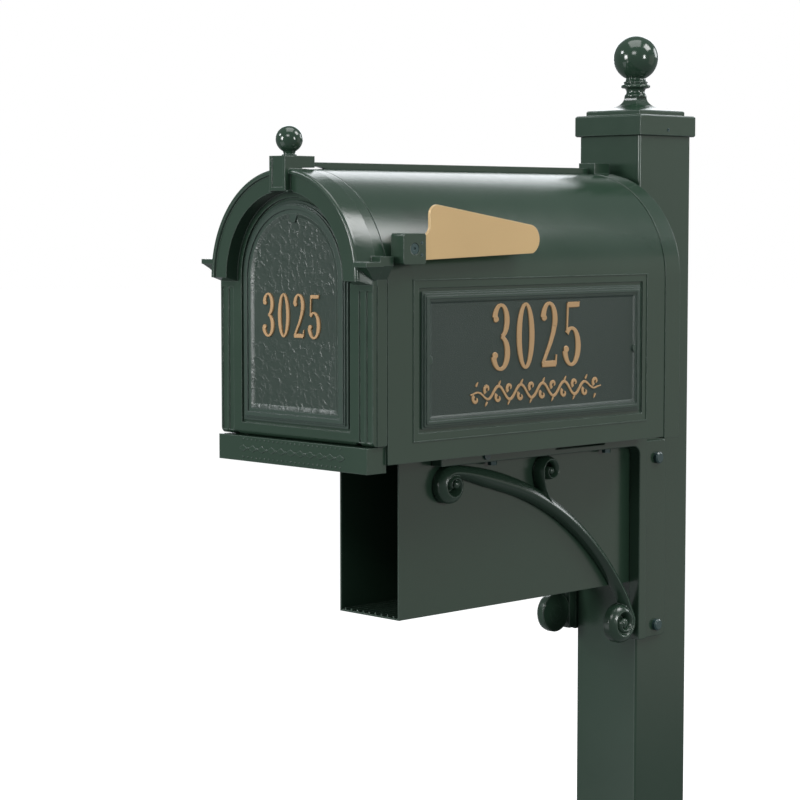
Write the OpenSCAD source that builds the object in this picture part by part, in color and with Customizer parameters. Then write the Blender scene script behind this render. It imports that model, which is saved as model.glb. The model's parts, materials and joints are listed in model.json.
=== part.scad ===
// Cast-aluminium post box: a door-fronted mailbox and a newspaper box carried
// by two scroll brackets on a square post with a cap and ball finial.
// Z is up, the post stands on z = 0 with its axis at x = y = 0, the door
// faces -Y and the signal flag is on the +X side. Millimetres.

/* [Post] */
// Width of the square post
post_w = 101.6; // [88:0.1:125]
// Wall of the post tube
post_wall = 3.2; // [2:0.1:5]
// Corner radius of the post tube
post_corner = 3; // [1:0.5:5]
// Height of the mailbox floor above the ground
floor_z = 1070; // [950:5:1200]
// Height of the post above the mailbox floor
post_over = 398; // [390:1:520]

/* [Cap and finial] */
// Amount the cap's skirt overhangs each side of the post
cap_over = 4.4; // [3:0.1:8]
// Height of the cap's skirt
cap_skirt = 27; // [20:1:40]
// Width of the step plate on the cap
step_w = 90; // [70:1:96]
// Height of the step plate
step_h = 6.5; // [3:0.5:10]
// Height of the cap's hollow pyramid
pyramid_h = 18.5; // [12:0.5:40]
// Radius of the finial's ball
ball_r = 29; // [20:1:38]
// Height of the finial's neck, cap to ball centre
finial_neck = 50; // [42:1:70]

/* [Mailbox] */
// Width of the mailbox body
box_w = 260; // [230:1:310]
// Length of the mailbox body, rear face to door seam
box_len = 505; // [430:5:600]
// Height of the straight side walls
spring_h = 197; // [175:1:230]
// Wall of the casting
wall = 4; // [3:0.5:5]
// Gap between the mailbox and the post
box_gap = 15.7; // [8:0.1:30]
// Length of the rear panel's band
rear_band = 28.5; // [20:0.5:40]
// Height of the ridge rail above the roof
rail_h = 7.5; // [5:0.5:12]
// Width of the ridge rail
rail_w = 6; // [4:0.5:8]
// Height of the front sill
sill_h = 29; // [24:1:36]
// Depth of the sill below the mailbox floor
sill_drop = 9; // [6:0.5:12]

/* [Door] */
// Depth of the door's rim, seam to pilaster face
rim_d = 21.5; // [19:0.5:30]
// Running gap between the door and the body
door_gap = 1; // [0.6:0.1:1.5]
// Amount the front arch and cornice stand out from the pilasters
crown_out = 20; // [10:0.5:22]
// Amount the cornice stands out beyond the body's side
corn_out = 10; // [6:0.5:16]
// Amount the front arch's outer radius stays inside the body's half width
arch_inset = 6; // [5:0.5:24]
// Width of the arch moulding and of each pilaster's inner edge
arch_band = 25; // [18:1:28]
// Height of the arch centre above the straight walls
arch_lift = 6; // [0:1:10]
// Width of the keystone and of the latch block
key_w = 26.5; // [18:0.5:34]
// Flutes on each pilaster
flutes = 2; // [2:1:5]
// Radius of the door knob's ball
knob_r = 15.3; // [10:0.1:18]
// Radius of the door's hinge pins
hinge_r = 2; // [1.5:0.1:2.5]

/* [Flag] */
// Side of the flag's square hub
hub_w = 34; // [28:1:38]
// Thickness of the hub
hub_t = 20; // [14:1:24]
// Length of the flag's blade behind the hub
blade_l = 188; // [120:1:240]
// Thickness of the blade
blade_t = 3.5; // [2.5:0.1:5]

/* [Brackets and newspaper box] */
// Thickness of each bracket
brk_t = 17; // [12:0.5:22]
// Height of the bracket's flange
flange_h = 256; // [230:2:300]
// Reach of the bracket's arm in front of the post
arm_l = 374; // [366:2:400]
// Thickness of the mounting plate on the arms
plate_t = 3; // [2:0.5:4]
// Height of the newspaper box
news_h = 192; // [150:2:230]
// Length of the newspaper box
news_l = 426; // [340:2:470]
// Wall of the newspaper box
news_wall = 2; // [1.5:0.5:4]

/* [Fits] */
// Gap between pieces that lie side by side
fit = 0.4; // [0.2:0.1:0.8]
// Radial clearance of the bolts and screws in their holes
hole_fit = 0.1; // [0.05:0.05:0.3]
// Radial clearance of the turning pins
pin_fit = 0.05; // [0.03:0.01:0.1]

/* [Hidden] */
$fn = 64;

GREEN = "#2c4438";
DARK = "#1f3229";
GOLD = "#b8935a";
STEEL = "#9aa0a3";

post_h = floor_z + post_over;
post_half = post_w / 2;
cap_w = post_w + 2 * cap_over;
cap_z = post_h - 22;                 // underside of the cap's skirt
cap_top = cap_z + cap_skirt;         // top of the skirt
pyr_z = cap_top + step_h;
finial_z = pyr_z + pyramid_h;
ball_z = finial_z + finial_neck;
base_r = 14;

half = box_w / 2;                    // the body's half width and roof radius
y_rear = -(post_half + box_gap);
y_seam = y_rear - box_len;           // front edge of the body
y_band = y_rear - rear_band;         // seam between wrap and rear panel
roof_z = spring_h + half;
rail_top = roof_z + rail_h;
sill_top = sill_h - sill_drop;
y_rim = y_seam - door_gap;           // rear edge of the door's rim
y_door = y_seam - rim_d;             // face of the pilasters
y_crown = y_door - crown_out;        // face of the cornice and of the arch
y_sill = y_door - 6.4;
door_z = sill_top + 1.2;             // underside of the door
arch_z = spring_h + arch_lift;       // centre of the front arch
arch_r = half - arch_inset;          // outer radius of the front arch
band_r = arch_r - arch_band;         // inner radius of the arch moulding
field_r = band_r - 7;                // half width of the door's recess
pil_half = half - 1;
recess_z = door_z + 14;
recess_d = 3;                        // depth of the door's recess
web_t = 4;
hinge_y = y_door + 7;
hinge_z = door_z + 6.5;
lug_x = pil_half - 29;
lug_w = 8;
key_top = roof_z + 14;
key_z = arch_z + band_r;
key_y = y_crown - 5;
block_h = 13;
magnet_r = 4;
corn_h = 24;
corn_z = arch_z;                     // underside of the cornice
rim_w = 6.5;                         // width of the arch moulding's rim
key_edge = 4;                        // border of the keystone's panel

plaque_y0 = y_seam + 47.5;           // the side recess, front and rear
plaque_y1 = y_band - 43;
plaque_z0 = 32;
plaque_z1 = spring_h - 3;
side_d = 2;

flag_y = y_seam + 21;
flag_z = spring_h + 41;
hub_x = half + 1;
bolt_r = 4;

flange_t = 6;
arm_z0 = -18;                        // underside of the bracket's arm
arm_z1 = -plate_t;
rib_y = -post_half - 1.2;            // rear face of the bracket's upright rib
rib_w = 14;
y_arm = -post_half - arm_l;
brk_x = post_half;
through_y = -19;
through_z = [arm_z0 - 19, arm_z0 - 237];
plate_y = [y_arm + 94, y_arm + 302];
plate_x = brk_x + brk_t / 2 + 0.5;
plate_front = y_arm + 2;
plate_rear = y_band - 1;
news_half = post_half - 0.6;
news_y0 = -post_half - fit - news_l;
news_y1 = -post_half - fit;
news_z1 = -plate_t;
news_z0 = news_z1 - news_h;

// ---- helpers -------------------------------------------------------------

function arc(c, r, a0, a1, n = 24) =
  [for (i = [0:n]) c + r * [cos(a0 + (a1 - a0) * i / n), sin(a0 + (a1 - a0) * i / n)]];

// a drawing of (x, z) drawn out from y0 to y1
module along_y(y0, y1) { translate([0, y1, 0]) rotate([90, 0, 0]) linear_extrude(y1 - y0) children(); }

// a drawing of (y, z) drawn out from x0 to x1
module along_x(x0, x1) { translate([x0, 0, 0]) rotate([90, 0, 90]) linear_extrude(x1 - x0) children(); }

// a rounded rectangle centred on the origin
module round_rect(w, h, r) {
  square([w - 2 * r, h], center = true);
  square([w, h - 2 * r], center = true);
  for (x = [-1, 1], y = [-1, 1]) translate([x * (w / 2 - r), y * (h / 2 - r)]) circle(r);
}

// a round-topped outline: half width and radius r, straight from z0 to zc
module arch(r, z0, zc, lift = 0) {
  translate([-r, z0]) square([2 * r, zc - z0]);
  translate([0, zc]) circle(r, $fn = 128);
}

// the upper half of a disc
module half_disc(r, zc) { intersection() { translate([0, zc]) circle(r, $fn = 96); translate([-r, zc]) square(2 * r); } }

module rod_x(x0, x1, r) { translate([x0, 0, 0]) rotate([0, 90, 0]) cylinder(r = r, h = x1 - x0); }
module rod_y(y0, y1, r) { translate([0, y0, 0]) rotate([-90, 0, 0]) cylinder(r = r, h = y1 - y0); }
module on_floor() { translate([0, 0, floor_z]) children(); }
module both_sides() { children(); mirror([1, 0, 0]) children(); }

// a hexagon nut or head, axis along Z
module hex(af, h) { cylinder(r = af / sqrt(3), h = h, $fn = 6); }

// ---- post, cap and finial ------------------------------------------------

module post_tube() color(GREEN) difference() {
  linear_extrude(post_h) difference() {
    round_rect(post_w, post_w, post_corner);
    square(post_w - 2 * post_wall, center = true);
  }
  for (z = through_z) translate([0, through_y, floor_z + z]) rod_x(-post_w, post_w, bolt_r + hole_fit);
}

// half of the cap's section: skirt, step plate and concave pyramid
cove_r = pyramid_h - 4;
top_half = base_r / sqrt(2) + 0.3;   // the square on top fits inside the finial's foot
module cap_section() {
  cw = cap_w / 2;
  polygon(concat([[-cw, cap_z + 1.5], [-cw + 1.5, cap_z], [cw - 1.5, cap_z], [cw, cap_z + 1.5],
    [cw, cap_top - 2], [cw - 2, cap_top], [step_w / 2, cap_top], [step_w / 2, pyr_z - 1.5],
    [step_w / 2 - 1.5, pyr_z], [top_half + cove_r + 1, pyr_z + 4]],
    arc([top_half + cove_r, finial_z], cove_r, 262, 180, 10),
    arc([-top_half - cove_r, finial_z], cove_r, 0, -82, 10),
    [[-top_half - cove_r - 1, pyr_z + 4], [-step_w / 2 + 1.5, pyr_z], [-step_w / 2, pyr_z - 1.5],
    [-step_w / 2, cap_top], [-cw + 2, cap_top], [-cw, cap_top - 2]]));
}

stud_r = 4;
module post_cap() color(GREEN) difference() {
  intersection() {
    along_y(-cap_w, cap_w) cap_section();
    along_x(-cap_w, cap_w) cap_section();
  }
  translate([0, 0, cap_z - 1]) linear_extrude(post_h - cap_z + 1) round_rect(post_w + 2 * fit, post_w + 2 * fit, post_corner);
  translate([0, 0, post_h - 1]) linear_extrude(pyr_z - 4 - post_h + 1) square(step_w - 10, center = true);
  translate([0, 0, pyr_z - 5]) cylinder(r = 10, h = 12);
  translate([0, 0, pyr_z]) cylinder(r = stud_r + hole_fit, h = pyramid_h + 1);
  both_sides() translate([0, 0, cap_z + 8]) rod_x(post_half, cap_w, 2 + hole_fit);
}

// grub screws that lock the skirt on the post
module cap_set_screws() color(DARK) both_sides() translate([0, 0, cap_z + 8]) difference() {
  rod_x(post_half + 0.02, cap_w / 2 + 0.6, 2);
  rod_x(cap_w / 2 - 0.9, cap_w / 2 + 1, 1.1);
}

module finial() color(GREEN) difference() {
  translate([0, 0, finial_z]) rotate_extrude($fn = 96) {
    s = finial_neck;
    polygon(concat([[0, 0], [base_r + 0.6, 0], [base_r + 0.6, 2.2], [base_r - 0.8, 4]],
      arc([base_r - 0.8 + 3, 7], 3, 240, 150, 6),
      arc([base_r + 1, 13], 4.2, -70, 75, 10),
      [[base_r - 1.5, 18.4], [base_r - 3, 20.5]],
      arc([0, s], ball_r, -67, 90, 40)));
  }
  translate([0, 0, finial_z - 1]) cylinder(r = stud_r + hole_fit, h = 31);
}

module finial_stud() color(STEEL) {
  translate([0, 0, pyr_z - 4]) cylinder(r = stud_r, h = pyramid_h + 4 + 28);
  translate([0, 0, pyr_z + 0.4]) cylinder(r = 8, h = 1.6);
  translate([0, 0, pyr_z - 5.4]) hex(13, 5.6);
}

// ---- brackets ------------------------------------------------------------

// the scroll strap: two arcs make its edges, with a scroll at each end
up_c = [y_arm - 6.7, arm_z0 - 415.5];
up_r = 416.6;
lo_c = up_c + [29, 19];
lo_r = 369;
front_c = [y_arm + 25, arm_z0 - 23];
curl_c = [y_arm + 194, arm_z0 - 18.5];
low_r = 26;
low_c = [rib_y - rib_w - low_r + 1, arm_z0 - 225];

module ring2d(c, ro, ri, a0, a1) { polygon(concat(arc(c, ro, a0, a1), arc(c, ri, a1, a0))); }

module strap() {
  polygon(concat(arc(up_c, up_r, 85.7, 32.6, 36), [[low_c[0] + low_r, low_c[1]], low_c],
    arc(lo_c, lo_r, 33.5, 73.8, 28), [front_c + [8, 8], front_c + [0, 12]]));
  ring2d(front_c, 24, 11, 84, 272);
  ring2d(front_c + [0, -7], 17, 8.5, 268, 408);
  translate(front_c + [6.5, 0.5]) circle(5.2);
  ring2d(low_c, low_r, 13, 0, 180);
  ring2d(low_c, low_r, 13, 179, 361);
  translate(low_c) circle(8);
  translate(low_c + [-14, -3]) square([10, 6]);
  ring2d(curl_c, 19.5, 9.5, -100, 181);
  ring2d(curl_c + [-14.5 + 60, 0], 65, 55, 178, 238);
}

module bracket_frame() {
  relief_y0 = y_arm + 199;
  relief_y1 = y_arm + 290;
  difference() {
    translate([y_arm, arm_z0]) square([rib_y - y_arm, arm_z1 - arm_z0]);
    translate([relief_y0, arm_z1 - 8]) square([relief_y1 - relief_y0, 9]);
  }
  translate([rib_y - rib_w, arm_z0 - flange_h + 6]) square([rib_w, flange_h]);
  difference() {
    translate([rib_y - rib_w - 12, arm_z0 - 12]) square(13);
    translate([rib_y - rib_w - 12, arm_z0 - 12]) circle(12);
  }
}

module flange2d() {
  h = flange_h;
  translate([rib_y / 2, arm_z0 + 4 - h / 2]) round_rect(-rib_y, h, 7);
  translate([rib_y, arm_z0 + 4 - h]) square([20, h]);
}

module bracket() difference() {
  union() {
    along_x(brk_x, brk_x + brk_t) bracket_frame();
    along_x(brk_x + 1, brk_x + brk_t) strap();
    along_x(brk_x, brk_x + flange_t) flange2d();
  }
  for (z = through_z) translate([0, through_y, z]) rod_x(0, 2 * post_w, bolt_r + hole_fit);
  for (y = plate_y) translate([plate_x, y, arm_z0 - 1]) cylinder(r = 3 + hole_fit, h = 30);
  translate([0, news_screw_y, news_screw_z]) rod_x(0, 200, 2.5 + hole_fit);
}

module bracket_right() color(GREEN) on_floor() bracket();
module bracket_left() color(GREEN) on_floor() mirror([1, 0, 0]) bracket();

// two bolts pass right through both flanges and the post
module bracket_bolts() color(DARK) on_floor() for (z = through_z) translate([0, through_y, z]) {
  rod_x(-brk_x - flange_t - 8, brk_x + flange_t + 1, bolt_r);
  rod_x(brk_x + flange_t, brk_x + flange_t + 4.5, 7.5);
  translate([brk_x + flange_t + 4.5, 0, 0]) rotate([0, 90, 0]) cylinder(r1 = 7.5, r2 = 5.5, h = 1.5);
}

module bracket_nuts() color(DARK) on_floor() for (z = through_z)
  translate([-brk_x - flange_t, through_y, z]) difference() {
    rod_x(-6, 0, 7.5);
    rod_x(-7, 1, bolt_r + hole_fit);
  }

module mounting_plate() color(STEEL) on_floor() difference() {
  translate([-brk_x - brk_t + 2, plate_front, -plate_t])
    cube([2 * (brk_x + brk_t - 2), plate_rear - plate_front, plate_t]);
  both_sides() for (y = plate_y) translate([plate_x, y, -10]) cylinder(r = 3 + hole_fit, h = 20);
}

module plate_bolts() color(STEEL) on_floor() both_sides() for (y = plate_y) translate([plate_x, y, 0]) {
  translate([0, 0, arm_z0 - 5]) hex(10, 5);
  translate([0, 0, arm_z0 - 1]) cylinder(r = 3, h = wall + 7 - arm_z0);
}

module plate_nuts() color(STEEL) on_floor() both_sides() for (y = plate_y)
  translate([plate_x, y, wall]) difference() {
    hex(10, 5);
    translate([0, 0, -1]) cylinder(r = 3 + hole_fit, h = 8);
  }

// ---- newspaper box -------------------------------------------------------

news_screw_y = news_y0 + 128;
news_screw_z = arm_z0 + 8;

module newspaper_box() color(GREEN) on_floor() {
  difference() {
    translate([-news_half, news_y0, news_z0]) cube([2 * news_half, news_l, news_h]);
    translate([-news_half + news_wall, news_y0 - 1, news_z0 + news_wall])
      cube([2 * (news_half - news_wall), news_l - news_wall + 1, news_h - 2 * news_wall]);
    translate([0, news_screw_y, news_screw_z]) rod_x(-100, 100, 2.5 + hole_fit);
  }
  pitch = (2 * news_half - 8) / 9;
  for (i = [-4:4]) translate([i * pitch - 1.1, news_y0, news_z0 + news_wall - 0.5])
    cube([2.2, news_l - 2, 3]);
}

// screws through the brackets' arms into the sides of the newspaper box
module newspaper_screws() color(DARK) on_floor() both_sides() translate([0, news_screw_y, news_screw_z]) {
  rod_x(news_half - news_wall - 3, brk_x + brk_t + 1, 2.5);
  rod_x(brk_x + brk_t, brk_x + brk_t + 2.4, 5);
  translate([news_half - news_wall - 3.2, 0, 0]) rotate([0, 90, 0]) hex(8, 3);
}

// ---- mailbox body --------------------------------------------------------

module side_recess() {
  translate([0, (plaque_y0 + plaque_y1) / 2, (plaque_z0 + plaque_z1) / 2]) rotate([90, 0, 90])
    linear_extrude(50) round_rect(plaque_y1 - plaque_y0, plaque_z1 - plaque_z0, 1.5);
}

side_screws = [for (y = [plaque_y0 + 12, plaque_y1 - 12], z = [plaque_z0 + 10, plaque_z1 - 10]) [y, z]];

module mailbox_body() color(GREEN) on_floor() difference() {
  union() {
    difference() {
      along_y(y_seam, y_band) arch(half, 0, spring_h);
      along_y(y_seam - 1, y_band + 1) arch(half - wall, wall, spring_h);
    }
    // a stiffening jamb round the mouth
    along_y(y_seam, y_seam + 9) difference() {
      arch(half - 1, 1, spring_h);
      arch(half - wall - 3, wall, spring_h);
    }
    // front sill, and the hinge lugs that reach forward into the door
    difference() {
      translate([-half + 4, y_sill, -sill_drop]) cube([box_w - 8, y_seam - y_sill + 1, sill_h]);
      translate([-half + 8, y_sill + 4, -sill_drop - 1]) cube([box_w - 16, y_seam - y_sill - 8, sill_h - 3]);
    }
    both_sides() along_x(lug_x, lug_x + lug_w) {
      translate([hinge_y, hinge_z]) circle(5);
      translate([hinge_y, hinge_z - 5]) square([y_seam + 9 - hinge_y, 10]);
      translate([y_seam - 6, sill_top - 2]) square([15, hinge_z - sill_top + 7]);
      translate([y_seam, wall - 1]) square([9, hinge_z - wall + 6]);
    }
    translate([0, flag_y, flag_z]) rod_x(half - wall - 14, hub_x - 0.6, 9);
  }
  both_sides() translate([0, hinge_y, hinge_z]) rod_x(lug_x - 1, lug_x + lug_w + 1, hinge_r + 0.02);
  both_sides() translate([half - side_d, 0, 0]) side_recess();
  both_sides() for (s = side_screws) translate([0, s[0], s[1]]) rod_x(half - 20, half + 5, 2 + hole_fit);
  translate([0, flag_y, flag_z]) rod_x(half - 40, half + 5, 4 + 0.02);
  both_sides() for (y = plate_y) translate([plate_x, y, -5]) cylinder(r = 3 + hole_fit, h = wall + 10);
  for (y = rail_screw_y) translate([0, y, roof_z - 10]) cylinder(r = 1.5 + hole_fit, h = 20);
}

rear_screws = [[half - 21, 24], [half - 21, spring_h - 8]];

module rear_panel() color(GREEN) on_floor() {
  difference() {
    union() {
      difference() {
        along_y(y_band, y_rear) arch(half + 1, -2, spring_h);
        along_y(y_band - 1, y_rear - wall) arch(half - wall - 3, wall + 3, spring_h);
      }
      along_y(y_band - 14, y_band + 1) difference() {
        arch(half - wall - fit, wall + fit, spring_h);
        arch(half - wall - 3, wall + 3, spring_h);
      }
      // keystone at the rear end of the ridge rail
      translate([-key_w / 2, y_band, roof_z - wall]) cube([key_w, rear_band, key_top - roof_z + wall]);
      both_sides() for (s = rear_screws) translate([s[0], 0, s[1]]) rod_y(y_band - 2, y_rear - 1, 7);
    }
    both_sides() for (s = rear_screws) translate([s[0], 0, s[1]]) rod_y(y_band - 10, y_rear + 5, 2.5 + hole_fit);
  }
}

// tie screws with a nut plate on the inside
module rear_panel_screws() color(DARK) on_floor() both_sides() for (s = rear_screws) translate([s[0], 0, s[1]]) {
  rod_y(y_band - 8, y_rear + 1, 2.5);
  rod_y(y_rear, y_rear + 2.4, 5);
  translate([0, y_band - 5, 0]) rotate([-90, 0, 0]) hex(8, 3);
}

// ---- ridge rail ----------------------------------------------------------

nose_l = 27;
y_nose = y_seam - 0.4;
rail_screw_y = [for (i = [0:3]) y_seam + 55 + i * (box_len - rear_band - 90) / 3];

module ridge_rail() color(GREEN) on_floor() difference() {
  along_x(-rail_w / 2, rail_w / 2) difference() {
    translate([y_nose, roof_z - 1]) square([y_band - 0.2 - y_nose, rail_h + 1]);
    // the nose curves up clear of the seam
    polygon(concat([[y_nose - 1, roof_z - 3], [y_nose - 1, rail_top - 4]],
      [for (i = [0:12]) [y_nose + nose_l * i / 12, rail_top - 4 - (rail_h - 3.6) * pow(i / 12, 2)]],
      [[y_nose + nose_l, roof_z - 3]]));
  }
  along_y(y_nose - 2, y_band + 20) translate([0, spring_h]) circle(half + 0.02, $fn = 128);
  for (y = rail_screw_y) translate([0, y, roof_z - 3]) cylinder(r = 1.5 + hole_fit, h = 8);
}

module rail_screws() color(STEEL) on_floor() for (y = rail_screw_y) translate([0, y, roof_z - wall]) {
  cylinder(r = 1.5, h = 8);
  translate([0, 0, -2.2]) cylinder(r = 3.2, h = 2);
  translate([0, 0, -0.6]) cylinder(r = 1.5, h = 1);
}

// the steel plate on the rail's nose that the magnet holds
module latch_strike() color(STEEL) on_floor()
  translate([-rail_w / 2, y_nose - 0.3, rail_top - 4]) cube([rail_w, 0.3, 3.8]);

// ---- plaques -------------------------------------------------------------

plaque_t = 4;
module side_plaque() {
  ym = (plaque_y0 + plaque_y1) / 2;
  zm = (plaque_z0 + plaque_z1) / 2;
  w = plaque_y1 - plaque_y0 - 10;
  h = plaque_z1 - plaque_z0 - 8;
  x0 = half - side_d;
  difference() {
    union() {
      translate([x0, ym, zm]) rotate([90, 0, 90]) {
        linear_extrude(2) round_rect(w, h, 2);
        linear_extrude(plaque_t) difference() {
          round_rect(w - 5, h - 5, 2);
          round_rect(w - 22, h - 22, 1);
        }
        linear_extrude(plaque_t + 1.2) difference() {
          round_rect(w - 10, h - 10, 2);
          round_rect(w - 17, h - 17, 1);
        }
      }
      for (e = [-1, 1]) translate([0, ym + e * (w / 2 - 10), zm]) rod_x(x0 + 0.5, x0 + plaque_t, 5.5);
    }
    for (s = side_screws) translate([0, s[0], s[1]]) rod_x(x0 - 1, x0 + 1.4, 2 + hole_fit);
  }
}

module side_plaque_right() color(DARK) on_floor() side_plaque();
module side_plaque_left() color(DARK) on_floor() mirror([1, 0, 0]) side_plaque();

module side_plaque_screws() color(STEEL) on_floor() both_sides() for (s = side_screws) translate([0, s[0], s[1]]) {
  rod_x(half - wall - 3, half - side_d + 1.3, 2);
  translate([half - wall - 2.6, 0, 0]) rotate([0, 90, 0]) hex(7, 2.6);
}

plaque_r = field_r - 3.5;
plaque_bot = recess_z + 3.5;
y_plaque = y_door + recess_d;        // the door recess's floor
door_screws = [[0, plaque_bot + 30], [0, arch_z + 60]];

module door_plaque() color(DARK) on_floor() difference() {
  union() {
    along_y(y_plaque - 2.5, y_plaque) arch(plaque_r, plaque_bot, arch_z);
    along_y(y_plaque - 4.5, y_plaque) difference() {
      arch(plaque_r - 3, plaque_bot + 3, arch_z);
      arch(plaque_r - 14.5, plaque_bot + 14.5, arch_z);
    }
    along_y(y_plaque - 6, y_plaque) difference() {
      arch(plaque_r - 5, plaque_bot + 5, arch_z);
      arch(plaque_r - 10, plaque_bot + 10, arch_z);
    }
    // the small boss at the top of the border
    along_y(y_plaque - 4.5, y_plaque)
      polygon([[-9, arch_z + plaque_r - 12], [-2.5, arch_z + plaque_r - 25],
        [2.5, arch_z + plaque_r - 25], [9, arch_z + plaque_r - 12]]);
  }
  for (s = door_screws) translate([s[0], 0, s[1]]) rod_y(y_plaque - 1.6, y_plaque + 1, 2 + hole_fit);
}

module door_plaque_screws() color(STEEL) on_floor() for (s = door_screws) translate([s[0], 0, s[1]]) {
  rod_y(y_plaque - 1.5, y_plaque + web_t + 3, 2);
  translate([0, y_plaque + web_t, 0]) rotate([-90, 0, 0]) hex(7, 2.6);
}

// ---- door ----------------------------------------------------------------

// section of the front arch moulding, (radius, depth in front of the pilasters):
// a bead, a double curve that rises forwards, and the outer rim
module arch_moulding() {
  cyma_w = arch_band - 4 - rim_w;
  translate([0, y_door, arch_z]) rotate([90, 0, 0]) rotate_extrude(angle = 180, $fn = 128)
    polygon(concat([[band_r, -5], [band_r, 1]], arc([band_r + 1.7, 1], 1.7, 180, 10, 6),
      [for (t = [0:0.1:1]) [band_r + 4 + cyma_w * t, 0.8 + (crown_out - 4) * (t - 0.1 * sin(360 * t))]],
      [[arch_r - rim_w + 0.3, crown_out - 1.6]],
      arc([arch_r - rim_w + 2, crown_out - 1.6], 1.6, 170, 90, 4), arc([arch_r - 3, crown_out - 3], 3, 90, 0, 6),
      [[arch_r, -5]]));
}

// section of the cornice: a slab over two slopes, as (distance out, height)
module crown2d(out, x0, top) polygon([[x0, corn_z], [half - 1, corn_z], [half + out * 0.5, corn_z + (top - corn_z) * 0.4],
  [half + out * 0.56, corn_z + (top - corn_z) * 0.46], [half + out - 1.6, top - 6.2], [half + out, top - 5.4],
  [half + out, top], [x0, top]]);

module cornice() {
  top = corn_z + corn_h - 3;
  intersection() {
    along_y(y_crown - 1, y_door + 6) crown2d(corn_out, arch_r - 4, top);
    along_x(arch_r - 6, half + corn_out + 1) translate([y_door + half, 0]) mirror([1, 0])
      crown2d(crown_out, half + y_door - y_rim, top);
  }
  // the plain return slopes in below its top edge
  along_y(y_door + 1, y_rim) polygon([[arch_r - 4, corn_z], [half - 1, corn_z],
    [half + corn_out, corn_z + corn_h - 7], [half + corn_out, corn_z + corn_h + 3], [arch_r - 4, corn_z + corn_h + 3]]);
}

module pilaster_flutes() {
  x0 = field_r + 13;
  z0 = door_z + 4;
  z1 = corn_z - 11;
  pitch = (pil_half - 0.5 - x0) / flutes;
  for (i = [0:flutes - 1]) along_y(y_door - 1, y_door + 1.2)
    translate([x0 + pitch * (i + 0.5), (z0 + z1) / 2]) round_rect(pitch * 0.7, z1 - z0, 1.2);
}

module door() color(GREEN) on_floor() difference() {
  union() {
    // rim and web
    difference() {
      along_y(y_door + 6, y_rim) arch(half, door_z, spring_h);
      along_y(y_plaque + web_t, y_rim + 1) arch(half - web_t, door_z + 14, spring_h);
    }
    // pilasters and bottom rail
    difference() {
      along_y(y_door, y_door + 7) translate([-pil_half, door_z]) square([2 * pil_half, arch_z + 4 - door_z]);
      both_sides() pilaster_flutes();
    }
    // the arched front flares from the front arch to the rim
    hull() {
      along_y(y_crown + 3, y_crown + 4) half_disc(arch_r - 0.5, arch_z);
      along_y(y_door + 6, y_door + 7) half_disc(half, spring_h);
    }
    arch_moulding();
    both_sides() cornice();
    // keystone and the latch block behind it
    translate([-key_w / 2, key_y, key_z]) cube([key_w, y_door + 1 - key_y, key_top - key_z]);
    translate([-key_w / 2, key_y, key_top - block_h]) cube([key_w, y_rim - 1 - key_y, block_h]);
    translate([-key_w / 2 - 3, key_y + 1, key_z - 2.5]) cube([key_w + 6, y_door + 1 - key_y, 3]);
  }
  // sunk panel down the keystone's face
  translate([-key_w / 2 + key_edge, key_y - 1, key_z + key_edge]) cube([key_w - 2 * key_edge, 2, key_top - key_z]);
  // the arched opening in front of the door's field
  along_y(y_crown - 20, y_door) arch(band_r + 0.01 - 0.02, arch_z - 1, arch_z);
  along_y(y_door - 1, y_plaque) arch(field_r, recess_z, arch_z);
  // hollow behind the arch moulding
  translate([0, y_plaque + web_t, arch_z]) rotate([90, 0, 0]) rotate_extrude(angle = 180, $fn = 96)
    translate([band_r + 4, -1]) square([arch_band - 9, web_t + recess_d - 2]);
  // lower edges eased about the hinge, clear of the sill and the body as the door turns
  along_x(-half - 1, half + 1) {
    difference() {
      translate([y_door - 1, door_z - 1]) square([hinge_y - y_door - 1.6, hinge_z - door_z + 1]);
      translate([hinge_y, hinge_z]) circle(hinge_y - y_door);
    }
    polygon([[y_rim + 1, door_z - 1], [y_rim - 1.5, door_z - 1], [y_rim - 1.5, door_z], [y_rim, door_z + 2.5], [y_rim + 1, door_z + 2.5]]);
  }
  // slots for the hinge lugs, and the pins' bores
  both_sides() along_x(lug_x - 0.5, lug_x + lug_w + 0.5) {
    translate([hinge_y, hinge_z]) circle(5.6);
    translate([hinge_y - 5.6, door_z - 9]) square([30, hinge_z - door_z + 9]);
    translate([hinge_y, door_z - 9]) square([30, hinge_z - door_z + 14.6]);
  }
  both_sides() translate([0, hinge_y, hinge_z]) rod_x(lug_x - 10, lug_x + lug_w + 10, hinge_r + pin_fit);
  for (s = door_screws) translate([s[0], 0, s[1]]) rod_y(y_plaque - 1, y_plaque + web_t + 1, 2 + hole_fit);
  translate([0, knob_y, key_top - 9]) cylinder(r = 2.5 + hole_fit, h = 12);
  translate([0, 0, key_top - block_h / 2]) rod_y(y_rim - 7, y_rim, magnet_r + hole_fit);
}

knob_y = key_y + 0.41 * (y_rim - 1 - key_y);

module door_knob() color(GREEN) on_floor() translate([0, knob_y, key_top]) {
  rotate_extrude($fn = 64) polygon(concat([[0, 0], [8, 0], [8, 1], [6.6, 2.2]],
    arc([0, knob_r + 3.4], knob_r, -62, 90, 24)));
  translate([0, 0, -8]) cylinder(r = 2.5, h = 10);
}

module latch_magnet() color(STEEL) on_floor() translate([0, 0, key_top - block_h / 2])
  rod_y(y_rim - 7, y_rim - 1, magnet_r);

// the pins are fast in the lugs and the door turns on them
module hinge_pins() color(STEEL) on_floor() both_sides() translate([0, hinge_y, hinge_z])
  rod_x(lug_x - 9, lug_x + lug_w + 9, hinge_r);

// ---- flag ----------------------------------------------------------------

tang_l = 20;
tang_h = 22;
blade_x = hub_x + hub_t - 3 - blade_t;
blade_y0 = hub_w / 2;

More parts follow.
